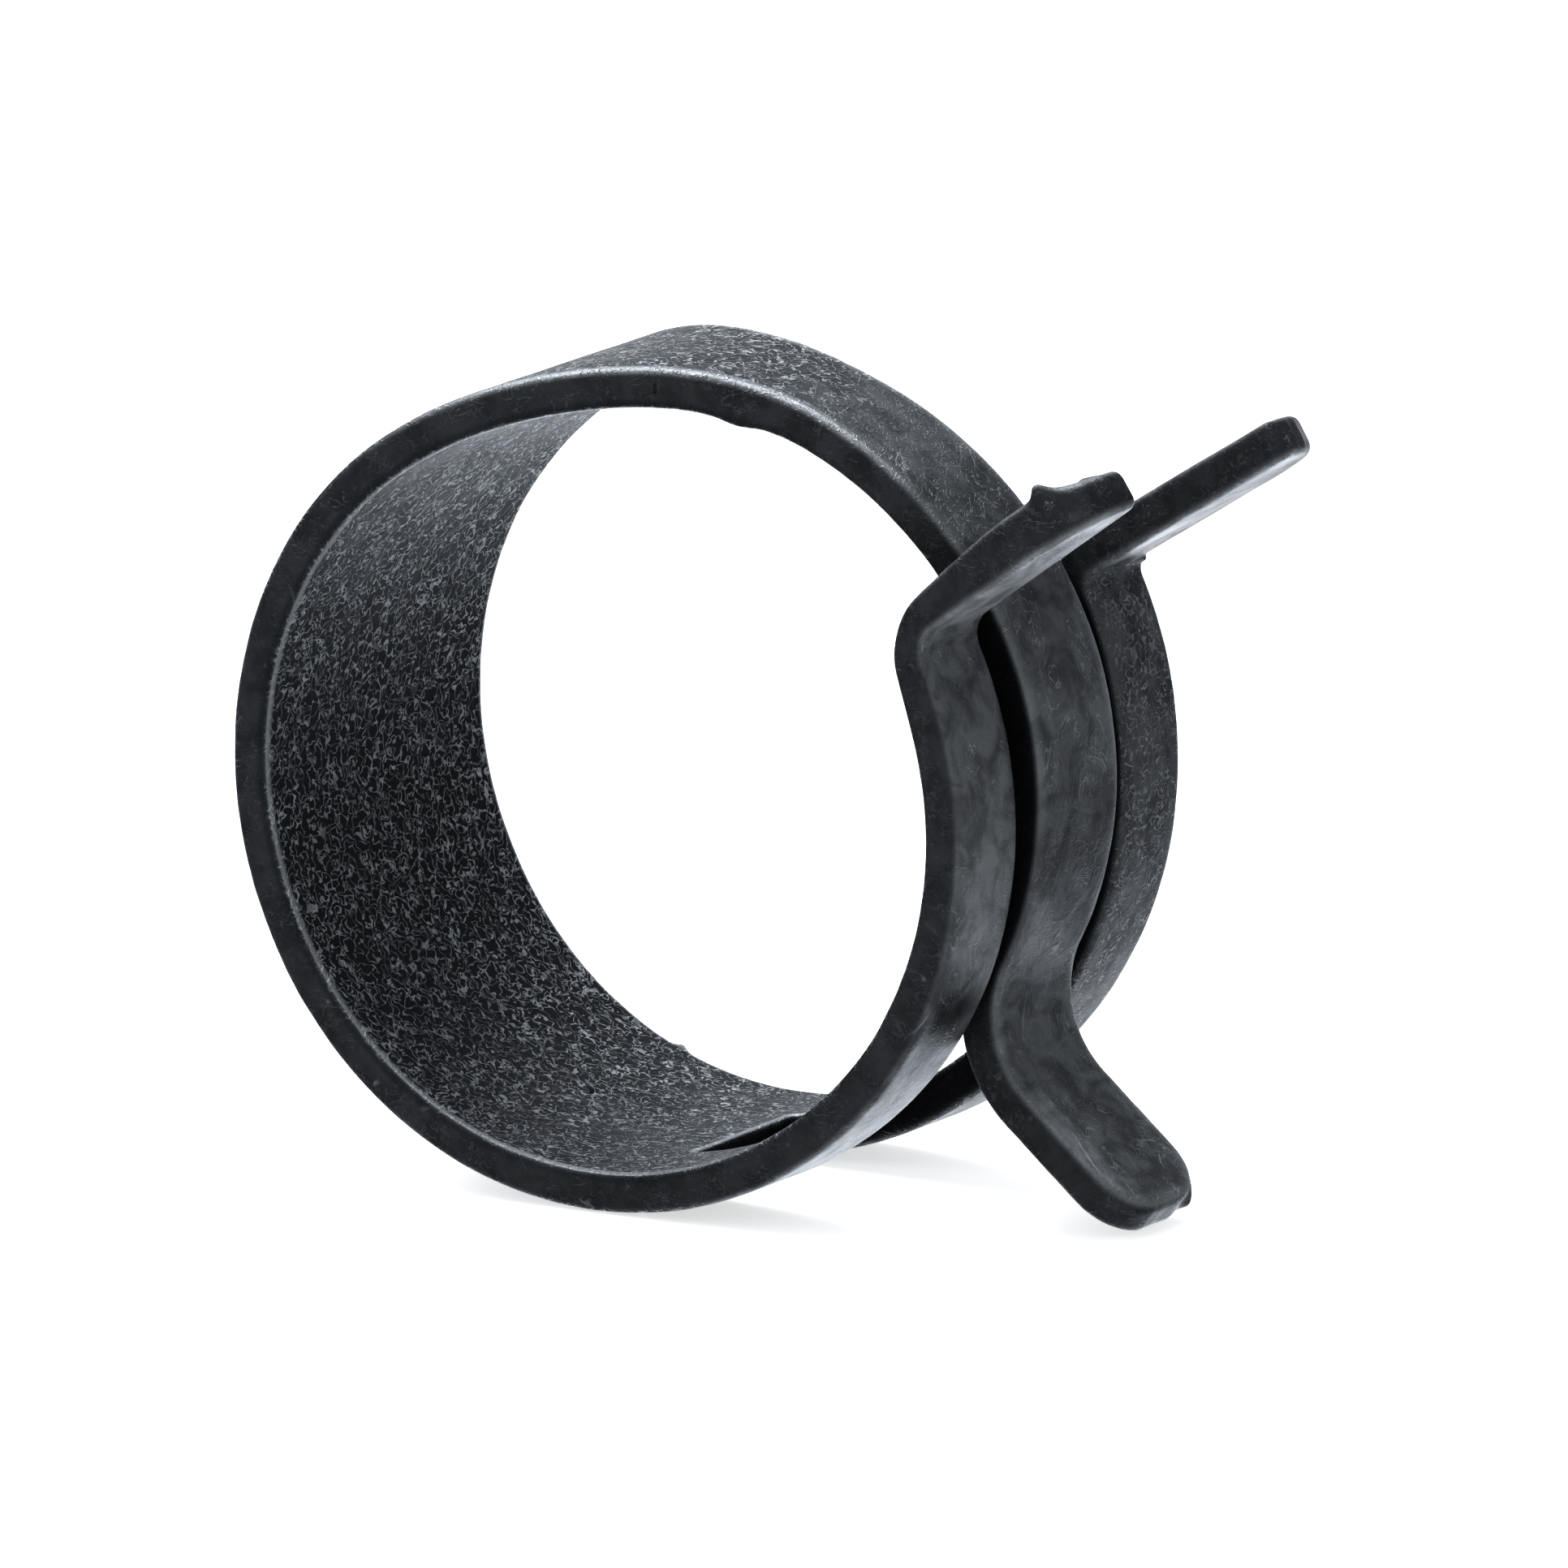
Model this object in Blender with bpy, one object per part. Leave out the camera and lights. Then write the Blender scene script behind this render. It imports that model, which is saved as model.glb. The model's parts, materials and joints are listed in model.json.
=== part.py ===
"""A spring band hose clamp: one strip of spring steel, rolled into an open ring that overlaps itself.

One end of the strip narrows to a tongue. The other end is slotted and leaves two arms, and the tongue passes
between them. Each end is turned outwards into tabs. Pliers squeeze the tabs together, the ring opens over a
hose, and it closes by its own spring when let go.

The strip is modelled as the zones that it is bent in, each a solid of its own. The zones turn on each other
about axes at half the strip's thickness, which is how the whole strip flexes when it is opened.
The ring's axis is Y, with the front edge towards -Y, and +X runs from the back of the ring to the tabs.
The part stands on the lowest point of its ring and the tip of its tongue, at z = 0.
"""
import math

import bmesh
import bpy
from mathutils import Matrix, Vector

# The strip, in metres.
BAND_WIDTH = 0.0120
THICKNESS = 0.00125
TONGUE_WIDTH = 0.0046
SLOT_WIDTH = 0.0052
CLEARANCE = 0.0003          # between two neighbouring zones, along the strip

# The narrowing from band to tongue, as angles rolled from the middle of the back, in degrees.
NARROWS_FROM = 47.0
NARROWS_TO = 112.0
SHOULDER_POWER = 1.75       # 1 is a straight taper, more is rounder at both ends

# Tabs: straight length past the bend, and the radius of the rounded corners of their tips.
TONGUE_TAB_LENGTH = 0.0048
FRONT_TAB_LENGTH = 0.0065
REAR_TAB_LENGTH = 0.0083
TONGUE_CORNER = 0.0017
FORK_CORNER = 0.0031

# The whole clamp leans forward by this angle, in degrees, so that the ring and the tongue's tip both touch.
LEAN = 1.43

FACET = 3.2                 # degrees of bend for each flat
CORNER_FACETS = 5

# Each row is one zone: name, radius at half thickness in metres, angle rolled in degrees. Ring bends close
# the ring, and the heels at the ends bend the other way, outwards.
BACK = ("band_back", 0.0119, 15.0)
UPPER_SIDE = (
    ("band_back_upper", 0.0119, 30.0),
    ("band_upper", 0.0126, 30.0),
    ("band_top", 0.0136, 30.0),
    ("tongue_shoulder", 0.0126, 30.0),
    ("tongue_upper", 0.0107, 30.0),
    ("tongue_middle", 0.0105, 21.1),
    ("tongue_lower", 0.0105, 21.1),
    ("tongue_heel", 0.0038, -78.0),
)
LOWER_SIDE = (
    ("band_back_lower", 0.0119, 30.0),
    ("band_lower", 0.0116, 30.0),
    ("fork_crotch", 0.0126, 24.0),
)
FRONT_ARM = (
    ("front_arm_root", 0.0129, 30.0),
    ("front_arm_lower", 0.0120, 30.0),
    ("front_arm_middle", 0.0117, 23.5),
    ("front_arm_upper", 0.0117, 23.5),
    ("front_heel", 0.0015, -79.6),
)
REAR_ARM = (
    ("rear_arm_root", 0.0132, 30.0),
    ("rear_arm_lower", 0.0127, 30.0),
    ("rear_arm_middle", 0.0119, 23.5),
    ("rear_arm_upper", 0.0119, 23.5),
    ("rear_heel", 0.0012, -83.4),
)

# The zones that turn together as one body, in order from the bottom of the ring, which is the root. Each row
# starts with the zone whose start is the body's joint.
ROOT_ZONE = "fork_crotch"
ROUND_TO_THE_TONGUE = (
    ("fork_crotch", ("band_lower",)),
    ("band_lower", ("band_back_lower",)),
    ("band_back_lower", ("band_back",)),
    ("band_back_upper", ("band_back_upper",)),
    ("band_upper", ("band_upper",)),
    ("band_top", ("band_top",)),
    ("tongue_shoulder", ("tongue_shoulder",)),
    ("tongue_upper", ("tongue_upper",)),
    ("tongue_middle", ("tongue_middle", "tongue_lower", "tongue_heel", "tongue_tab")),
)
UP_THE_ARMS = (
    ("front_arm_root", ("front_arm_root", "rear_arm_root")),
    ("front_arm_lower", ("front_arm_lower", "rear_arm_lower")),
    ("front_arm_middle", ("front_arm_middle", "front_arm_upper", "front_heel", "front_tab",
                          "rear_arm_middle", "rear_arm_upper", "rear_heel", "rear_tab")),
)


class Place:
    """A point on the strip's middle line, with the direction in which the strip runs there."""

    def __init__(self, x, z, heading, rolled):
        self.x, self.z = x, z
        self.heading = heading      # radians, counter-clockwise from +X, as seen from the front
        self.rolled = rolled        # degrees rolled since the middle of the back

    def left(self, distance):
        """The point that lies this far to the left of the strip's direction."""
        return (self.x - distance * math.sin(self.heading), self.z + distance * math.cos(self.heading))

    def bent(self, radius, angle):
        """The place after a bend through this angle in radians; positive turns left."""
        reach = radius if angle > 0 else -radius
        centre_x, centre_z = self.left(reach)
        heading = self.heading + angle
        return Place(centre_x + reach * math.sin(heading), centre_z - reach * math.cos(heading),
                     heading, self.rolled + abs(math.degrees(angle)))

    def ahead(self, distance):
        """The place this far straight on."""
        return Place(self.x + distance * math.cos(self.heading), self.z + distance * math.sin(self.heading),
                     self.heading, self.rolled)


def band_half_width(rolled):
    """Half the width of the upper side of the strip, which narrows from the band to the tongue."""
    share = (rolled - NARROWS_FROM) / (NARROWS_TO - NARROWS_FROM)
    share = min(max(share, 0.0), 1.0)
    rise = share ** SHOULDER_POWER
    narrowed = rise / (rise + (1.0 - share) ** SHOULDER_POWER)
    return (BAND_WIDTH + (TONGUE_WIDTH - BAND_WIDTH) * narrowed) / 2


def edges_full(place):
    return -BAND_WIDTH / 2, BAND_WIDTH / 2


def edges_upper(place):
    half = band_half_width(place.rolled)
    return -half, half


def edges_front(place):
    return -BAND_WIDTH / 2, -SLOT_WIDTH / 2


def edges_rear(place):
    return SLOT_WIDTH / 2, BAND_WIDTH / 2


def bend_places(start, radius, angle):
    """Places through a bend, short of its ends by half the clearance, and the place where it ends."""
    turn = math.radians(angle)
    trim = math.copysign(CLEARANCE / 2 / radius, turn)
    facets = max(3, round(abs(angle) / FACET))
    facets += 1 - facets % 2
    places = []
    for step in range(facets + 1):
        places.append(start.bent(radius, trim + (turn - 2 * trim) * step / facets))
    return places, start.bent(radius, turn)


def tab_places(start, length):
    """Places along a straight tab, from the clearance after its bend to its tip."""
    return [start.ahead(CLEARANCE / 2), start.ahead(length)]


def strip_mesh(name, places, edges):
    """One closed solid of the strip's thickness, through these places, between its two edges."""
    mesh = bpy.data.meshes.new(name)
    bm = bmesh.new()
    rings = []
    for place in places:
        low, high = edges(place)
        sides = (place.left(THICKNESS / 2), place.left(-THICKNESS / 2))
        corners = ((sides[0], low), (sides[0], high), (sides[1], high), (sides[1], low))
        rings.append([bm.verts.new((x, y, z)) for (x, z), y in corners])
    for before, after in zip(rings, rings[1:]):
        for corner in range(4):
            following = (corner + 1) % 4
            bm.faces.new((before[corner], before[following], after[following], after[corner]))
    bm.faces.new(reversed(rings[0]))
    bm.faces.new(rings[-1])
    bmesh.ops.recalc_face_normals(bm, faces=bm.faces)
    bm.to_mesh(mesh)
    bm.free()
    return mesh


def round_tip(mesh, tip, radius, corners):
    """Rounds the corners of a tab's tip that stand at these places across the strip."""
    bm = bmesh.new()
    bm.from_mesh(mesh)
    tip_edges = []
    for edge in bm.edges:
        middle = (edge.verts[0].co + edge.verts[1].co) / 2
        at_tip = (Vector((middle.x, 0, middle.z)) - Vector((tip.x, 0, tip.z))).length < THICKNESS / 10
        if at_tip and any(abs(middle.y - y) < THICKNESS / 10 for y in corners):
            tip_edges.append(edge)
    bmesh.ops.bevel(bm, geom=tip_edges, offset=radius, segments=CORNER_FACETS, profile=0.5, affect="EDGES")
    bm.to_mesh(mesh)
    bm.free()


def oxide_finish(name, colour, roughness):
    """Black oxidised spring steel."""
    material = bpy.data.materials.new(name)
    material.use_nodes = True
    shader = material.node_tree.nodes["Principled BSDF"]
    shader.inputs["Base Color"].default_value = (*colour, 1.0)
    shader.inputs["Roughness"].default_value = roughness
    shader.inputs["Metallic"].default_value = 0.3
    return material


# Colour and roughness by the first word of a zone's name.
FINISHES = {
    "band": ((0.024, 0.026, 0.029), 0.62),
    "fork": ((0.024, 0.026, 0.029), 0.62),
    "tongue": ((0.030, 0.031, 0.034), 0.50),
    "front": ((0.028, 0.030, 0.033), 0.48),
    "rear": ((0.026, 0.029, 0.031), 0.58),
}


def roll_side(start, zones, hand, edges, meshes, places):
    """Rolls zones one after another. hand is 1 where the ring turns left and -1 where it turns right."""
    place = start
    for name, radius, angle in zones:
        places[name] = place
        stations, place = bend_places(place, radius, hand * angle)
        meshes[name] = strip_mesh(name, stations, edges)
    return place


def add_tab(name, start, length, edges, radius, corners, meshes, places):
    places[name] = start
    stations = tab_places(start, length)
    meshes[name] = strip_mesh(name, stations, edges)
    round_tip(meshes[name], stations[-1], radius, corners)


def roll_strip():
    """All the zones' meshes, and the place where each zone starts, with the middle of the back at the origin."""
    meshes, places = {}, {}
    up = math.radians(90.0 - LEAN)
    down = math.radians(-90.0 - LEAN)
    back_name, back_radius, half_angle = BACK

    back_up = Place(0.0, 0.0, up, 0.0)
    back_down = Place(0.0, 0.0, down, 0.0)
    half_turn = math.radians(half_angle)
    upper_end = back_up.bent(back_radius, -half_turn)
    lower_end = back_down.bent(back_radius, half_turn)
    back_start = Place(upper_end.x, upper_end.z, upper_end.heading + math.pi, 0.0)
    meshes[back_name] = strip_mesh(back_name, bend_places(back_start, back_radius, 2 * half_angle)[0], edges_full)

    tongue_end = roll_side(upper_end, UPPER_SIDE, -1, edges_upper, meshes, places)
    crotch_end = roll_side(lower_end, LOWER_SIDE, 1, edges_full, meshes, places)
    front_end = roll_side(crotch_end, FRONT_ARM, 1, edges_front, meshes, places)
    rear_end = roll_side(crotch_end, REAR_ARM, 1, edges_rear, meshes, places)

    half_tongue = TONGUE_WIDTH / 2
    half_band = BAND_WIDTH / 2
    add_tab("tongue_tab", tongue_end, TONGUE_TAB_LENGTH, edges_upper, TONGUE_CORNER,
            (-half_tongue, half_tongue), meshes, places)
    add_tab("front_tab", front_end, FRONT_TAB_LENGTH, edges_front, FORK_CORNER, (-half_band,), meshes, places)
    add_tab("rear_tab", rear_end, REAR_TAB_LENGTH, edges_rear, FORK_CORNER, (half_band,), meshes, places)
    return meshes, places


def stand(meshes):
    """How far to move everything so that it stands at z = 0 with the middle of its length over the origin."""
    points = [vertex.co for mesh in meshes.values() for vertex in mesh.vertices]
    middle = (min(p.x for p in points) + max(p.x for p in points)) / 2
    return Vector((-middle, 0.0, -min(p.z for p in points)))


def place_body(name, members, pivot, parent, meshes, shift):
    """Hangs a body's zones on an empty at its pivot, which itself hangs on the body before it."""
    empty = bpy.data.objects.new(name, None)
    empty.location = pivot - (parent[1] if parent else Vector())
    if parent:
        empty.parent = parent[0]
    bpy.context.scene.collection.objects.link(empty)
    for member in members:
        mesh = meshes[member]
        mesh.transform(Matrix.Translation(shift - pivot))
        zone = bpy.data.objects.new(member, mesh)
        zone.parent = empty
        colour, roughness = FINISHES[member.split("_")[0]]
        mesh.materials.append(oxide_finish(member + "_oxide", colour, roughness))
        bpy.context.scene.collection.objects.link(zone)
    return empty, pivot


def pivot_of(zone, places, shift):
    """The point that a joint turns about: the start of a zone, or halfway between the starts of the two arms'."""
    starts = [places[zone], places[zone.replace("front", "rear")]]
    return Vector(((starts[0].x + starts[1].x) / 2, 0.0, (starts[0].z + starts[1].z) / 2)) + shift


def main():
    for leftover in list(bpy.data.objects):
        bpy.data.objects.remove(leftover)
    meshes, places = roll_strip()
    shift = stand(meshes)
    root = place_body("bottom_of_ring", (ROOT_ZONE,), pivot_of(ROOT_ZONE, places, shift), None, meshes, shift)
    for bodies in (ROUND_TO_THE_TONGUE, UP_THE_ARMS):
        parent = root
        for joint_zone, members in bodies:
            pivot = pivot_of(joint_zone, places, shift)
            parent = place_body("turns_" + members[0], members, pivot, parent, meshes, shift)


main()
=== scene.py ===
"""A spring band hose clamp, made as the real one is: blanked flat from strip, cut, rolled and blackened."""
import json
import math

import bpy
import numpy as np
from mathutils import Euler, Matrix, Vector, noise


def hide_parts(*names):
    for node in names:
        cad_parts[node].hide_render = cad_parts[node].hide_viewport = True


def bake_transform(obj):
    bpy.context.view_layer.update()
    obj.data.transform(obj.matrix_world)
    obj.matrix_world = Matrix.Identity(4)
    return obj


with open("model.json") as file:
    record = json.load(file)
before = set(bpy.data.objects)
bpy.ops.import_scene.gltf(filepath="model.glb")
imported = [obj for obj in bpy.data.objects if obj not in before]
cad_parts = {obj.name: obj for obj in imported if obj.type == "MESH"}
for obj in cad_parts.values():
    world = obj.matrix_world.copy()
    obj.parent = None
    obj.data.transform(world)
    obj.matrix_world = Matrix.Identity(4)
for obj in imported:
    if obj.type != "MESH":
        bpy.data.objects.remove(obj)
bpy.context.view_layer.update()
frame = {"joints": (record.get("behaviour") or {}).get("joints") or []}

# -------------------------------------------------- the bench and the view
# A plain white table in a white light tent. The clamp stands on it, seen from the front, a little from
# the right and from above.
MIDDLE_OF_CLAMP = Vector((-0.0003265, 0.0, 0.0122333))
VIEW_AZIMUTH = math.radians(32.743)
VIEW_HEIGHT = math.radians(12.504)
VIEW_ROLL = math.radians(-1.236)
VIEW_DISTANCE = 0.806
LENS = 620.9

camera_data = bpy.data.cameras.new("view")
camera_data.lens = LENS
camera_data.sensor_width = 36.0
camera_data.clip_start = 0.05
camera_data.clip_end = 20.0
camera = bpy.data.objects.new("view", camera_data)
bpy.context.scene.collection.objects.link(camera)
towards_view = Vector((math.sin(VIEW_AZIMUTH) * math.cos(VIEW_HEIGHT),
                       -math.cos(VIEW_AZIMUTH) * math.cos(VIEW_HEIGHT), math.sin(VIEW_HEIGHT)))
camera.location = MIDDLE_OF_CLAMP + VIEW_DISTANCE * towards_view
looking = Euler((math.pi / 2 - VIEW_HEIGHT, 0.0, VIEW_AZIMUTH)).to_matrix()
camera.rotation_euler = (looking @ Euler((0.0, 0.0, VIEW_ROLL)).to_matrix()).to_euler()
bpy.context.scene.camera = camera

bpy.ops.object.select_all(action="DESELECT")
bpy.ops.mesh.primitive_plane_add(size=3.0, location=(0.0, 0.0, 0.0))
table = bpy.context.object
table.name = "white_table"
paper = bpy.data.materials.new("white_paper")
paper.use_nodes = True
sheet = paper.node_tree.nodes["Principled BSDF"].inputs
sheet["Base Color"].default_value = (0.95, 0.95, 0.95, 1.0)
sheet["Roughness"].default_value = 0.9
sheet["Emission Color"].default_value = (1.0, 1.0, 1.0, 1.0)
sheet["Emission Strength"].default_value = 0.6
table.data.materials.append(paper)
table.visible_glossy = False


def math_node(tree, operation, first, second, clamp=False):
    """One sum in a node tree. Each of the two values is a number or a socket."""
    node = tree.nodes.new("ShaderNodeMath")
    node.operation = operation
    node.use_clamp = clamp
    for socket, value in zip(node.inputs, (first, second)):
        if isinstance(value, (int, float)):
            socket.default_value = value
        else:
            tree.links.new(value, socket)
    return node.outputs[0]


def ramp(tree, value, low, high, to_low=0.0, to_high=1.0):
    """Goes smoothly from one value to another while the input goes from low to high."""
    node = tree.nodes.new("ShaderNodeMapRange")
    node.interpolation_type = "SMOOTHSTEP"
    tree.links.new(value, node.inputs["Value"])
    for name, number in (("From Min", low), ("From Max", high), ("To Min", to_low), ("To Max", to_high)):
        node.inputs[name].default_value = number
    return node.outputs["Result"]


# The tent's lit stretches: direction, the cosines between which each fades in, and brightness.
LIT_STRETCHES = (
    ((-0.50, 0.80, -0.10), 0.62, 0.97, 1.6),
    ((-0.42, 0.65, -0.62), 0.68, 0.98, 2.6),
    ((-0.30, -0.20, 1.0), 0.55, 1.0, 0.75),
)
UNLIT_CLOTH = 0.12
LIGHT_ON_DULL_FACES = 0.8
tent = bpy.data.worlds.new("light_tent")
bpy.context.scene.world = tent
tent.use_nodes = True
tree = tent.node_tree
outwards = tree.nodes.new("ShaderNodeTexCoord").outputs["Generated"]
cloth = UNLIT_CLOTH
for direction, edge, core, brightness in LIT_STRETCHES:
    towards = tree.nodes.new("ShaderNodeVectorMath")
    towards.operation = "DOT_PRODUCT"
    tree.links.new(outwards, towards.inputs[0])
    towards.inputs[1].default_value = Vector(direction).normalized()
    cloth = math_node(tree, "ADD", ramp(tree, towards.outputs["Value"], edge, core, 0.0, brightness), cloth)
rays = tree.nodes.new("ShaderNodeLightPath").outputs
seen = math_node(tree, "MULTIPLY", rays["Is Diffuse Ray"], LIGHT_ON_DULL_FACES)
seen = math_node(tree, "MAXIMUM", rays["Is Camera Ray"], seen)
tree.links.new(math_node(tree, "MAXIMUM", cloth, seen), tree.nodes["Background"].inputs["Strength"])
tree.nodes["Background"].inputs["Color"].default_value = (0.96, 0.98, 1.0, 1.0)
bpy.context.scene.view_settings.view_transform = "Standard"

lamp = bpy.data.lights.new("top_box", "AREA")
lamp.shape = "SQUARE"
lamp.size = 0.9
lamp.energy = 9.0
soft_box = bpy.data.objects.new("top_box", lamp)
soft_box.location = (-0.42, 0.22, 0.80)
soft_box.rotation_euler = (soft_box.location - MIDDLE_OF_CLAMP).to_track_quat("Z", "Y").to_euler()
bpy.context.scene.collection.objects.link(soft_box)

# -------------------------------------------------- the flat blank
# Cold rolled spring steel strip, 12 mm wide and 1.25 mm thick, blanked to a narrow tongue at one end and
# a slotted fork at the other. The punch rolls the arrises over on both sides, a little more on the outer
# one. In the blank, x runs along the strip from the middle of the ring's back towards the tongue, and +z
# is the side that ends up outside the ring.
BAND_WIDTH = 0.0120
THICKNESS = 0.00125
TONGUE_WIDTH = 0.0046
SLOT_WIDTH = 0.0052
NARROWS_FROM = math.radians(47.0)
NARROWS_TO = math.radians(112.0)
SHOULDER_POWER = 1.75

# One row for each bend: radius at half thickness, degrees. Ring bends close the ring and heels bend
# outwards.
UPPER_BENDS = ((0.0119, 45.0), (0.0126, 30.0), (0.0136, 30.0), (0.0126, 30.0), (0.0107, 30.0),
               (0.0105, 42.2), (0.0038, -78.0))
CROTCH_BENDS = ((0.0119, 45.0), (0.0116, 30.0), (0.0126, 24.0))
FRONT_BENDS = CROTCH_BENDS + ((0.0129, 30.0), (0.0120, 30.0), (0.0117, 47.0), (0.0015, -79.6))
REAR_BENDS = CROTCH_BENDS + ((0.0132, 30.0), (0.0127, 30.0), (0.0119, 47.0), (0.0012, -83.4))
TONGUE_TAB, FRONT_TAB, REAR_TAB = 0.0048, 0.0065, 0.0083
TONGUE_CORNER = 0.0017
FORK_CORNER = 0.0031


def length_of(bends):
    """Length along the middle of the strip."""
    return sum(radius * math.radians(abs(angle)) for radius, angle in bends)


def along(rolled, bends):
    """Distance along the strip at which this angle, in radians, has been rolled."""
    distance = 0.0
    for radius, angle in bends:
        turn = math.radians(abs(angle))
        if rolled <= turn:
            return distance + radius * rolled
        distance += radius * turn
        rolled -= turn
    return distance


def half_width(rolled):
    """Half the width of the upper side, which narrows from band to tongue."""
    share = min(max((rolled - NARROWS_FROM) / (NARROWS_TO - NARROWS_FROM), 0.0), 1.0)
    rise = share ** SHOULDER_POWER
    narrowed = rise / (rise + (1.0 - share) ** SHOULDER_POWER)
    return (BAND_WIDTH + (TONGUE_WIDTH - BAND_WIDTH) * narrowed) / 2


tongue_tip = length_of(UPPER_BENDS) + TONGUE_TAB
crotch = length_of(CROTCH_BENDS)
front_tip = length_of(FRONT_BENDS) + FRONT_TAB
rear_tip = length_of(REAR_BENDS) + REAR_TAB


def select_vertices(mesh_object, wanted):
    """Selects in edit mode the vertices for which wanted(place) is true, and what lies between them."""
    bpy.ops.object.mode_set(mode="EDIT")
    bpy.ops.mesh.select_mode(type="VERT")
    bpy.ops.mesh.select_all(action="DESELECT")
    bpy.ops.object.mode_set(mode="OBJECT")
    for vertex in mesh_object.data.vertices:
        vertex.select = wanted(vertex.co)
    bpy.ops.object.mode_set(mode="EDIT")


def pull_edge(mesh_object, x, low, high, reach):
    """Extrudes the edge that stands at x between low and high by a step along the strip."""
    near = 1e-6
    select_vertices(mesh_object, lambda p: abs(p.x - x) < near and low - near < p.y < high + near)
    bpy.ops.mesh.extrude_region_move(TRANSFORM_OT_translate={"value": (reach, 0.0, 0.0)})
    bpy.ops.object.mode_set(mode="OBJECT")


bpy.ops.object.select_all(action="DESELECT")
bpy.ops.mesh.primitive_plane_add(size=1.0)
blank = bpy.context.object
blank.name = "blank"
narrows_at = along(NARROWS_FROM, UPPER_BENDS)
for vertex in blank.data.vertices:
    vertex.co.x = narrows_at if vertex.co.x > 0 else -crotch
    vertex.co.y = math.copysign(BAND_WIDTH / 2, vertex.co.y)

# The shoulders: the end edge is pulled out in short steps and narrowed at each.
SHOULDER_STEPS = 26
x, half = narrows_at, BAND_WIDTH / 2
for step in range(1, SHOULDER_STEPS + 1):
    rolled = NARROWS_FROM + (NARROWS_TO - NARROWS_FROM) * step / SHOULDER_STEPS
    reach = along(rolled, UPPER_BENDS) - x
    pull_edge(blank, x, -half, half, reach)
    x, new_half = x + reach, half_width(rolled)
    bpy.ops.object.mode_set(mode="EDIT")
    bpy.ops.transform.resize(value=(1.0, new_half / half, 1.0))
    bpy.ops.object.mode_set(mode="OBJECT")
    half = new_half
pull_edge(blank, x, -half, half, tongue_tip - x)

# The fork: three edges across the band's other end, of which the outer two are pulled out as arms.
bpy.ops.object.mode_set(mode="EDIT")
for side in (-1, 1):
    bpy.ops.mesh.select_all(action="SELECT")
    bpy.ops.mesh.bisect(plane_co=(0.0, side * SLOT_WIDTH / 2, 0.0), plane_no=(0.0, 1.0, 0.0))
bpy.ops.object.mode_set(mode="OBJECT")
pull_edge(blank, -crotch, -BAND_WIDTH / 2, -SLOT_WIDTH / 2, crotch - front_tip)
pull_edge(blank, -crotch, SLOT_WIDTH / 2, BAND_WIDTH / 2, crotch - rear_tip)


def round_corner(x, y, radius, segments):
    near = 1e-5
    select_vertices(blank, lambda p: abs(p.x - x) < near and abs(p.y - y) < near)
    bpy.ops.mesh.bevel(offset=radius, offset_type="OFFSET", segments=segments, affect="VERTICES")
    bpy.ops.object.mode_set(mode="OBJECT")


# The rear tab is cut slightly on the slant, and the corners of the tips are rounded.
REAR_SLANT = 0.0004
SHARP_CORNER = 0.00035
for vertex in blank.data.vertices:
    if vertex.co.x < 1e-6 - rear_tip and vertex.co.y < SLOT_WIDTH:
        vertex.co.x += REAR_SLANT
round_corner(tongue_tip, -half, TONGUE_CORNER, 10)
round_corner(tongue_tip, half, TONGUE_CORNER, 10)
round_corner(-front_tip, -BAND_WIDTH / 2, FORK_CORNER, 14)
round_corner(-front_tip, -SLOT_WIDTH / 2, SHARP_CORNER, 4)
round_corner(-rear_tip, BAND_WIDTH / 2, FORK_CORNER, 14)
round_corner(REAR_SLANT - rear_tip, SLOT_WIDTH / 2, SHARP_CORNER, 4)

bpy.ops.object.mode_set(mode="EDIT")
bpy.ops.mesh.select_all(action="SELECT")
bpy.ops.mesh.remove_doubles(threshold=1e-7)
bpy.ops.object.mode_set(mode="OBJECT")

# The line that the punch cut, as pairs of corners: the edges that belong to one face only.
BENCH = 1000.0
edges_of_faces = [key for face in blank.data.polygons for key in face.edge_keys]
cut_line = [[np.array(blank.data.vertices[end].co.xy) * BENCH for end in key]
            for key in sorted(set(edges_of_faces)) if edges_of_faces.count(key) == 1]

# The plan gets its thickness, and the punch's rolled arrises.
INNER_ARRIS = 0.00026
OUTER_ARRIS = 0.00030
bpy.ops.object.mode_set(mode="EDIT")
bpy.ops.mesh.select_all(action="SELECT")
bpy.ops.transform.translate(value=(0.0, 0.0, -THICKNESS / 2))
bpy.ops.mesh.extrude_region_move(TRANSFORM_OT_translate={"value": (0.0, 0.0, THICKNESS)})
bpy.ops.mesh.select_all(action="SELECT")
bpy.ops.mesh.normals_make_consistent(inside=False)
for height, radius in ((-THICKNESS / 2, INNER_ARRIS), (THICKNESS / 2, OUTER_ARRIS)):
    bpy.ops.mesh.select_mode(type="EDGE")
    bpy.ops.mesh.select_all(action="DESELECT")
    bpy.ops.mesh.edges_select_sharp(sharpness=math.radians(60.0))
    bpy.ops.object.mode_set(mode="OBJECT")
    for edge in blank.data.edges:
        ends = [blank.data.vertices[index].co.z for index in edge.vertices]
        edge.select = edge.select and all(abs(z - height) < 1e-6 for z in ends)
    bpy.ops.object.mode_set(mode="EDIT")
    bpy.ops.mesh.bevel(offset=radius, segments=4, clamp_overlap=False, affect="EDGES")
bpy.ops.object.mode_set(mode="OBJECT")

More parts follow.
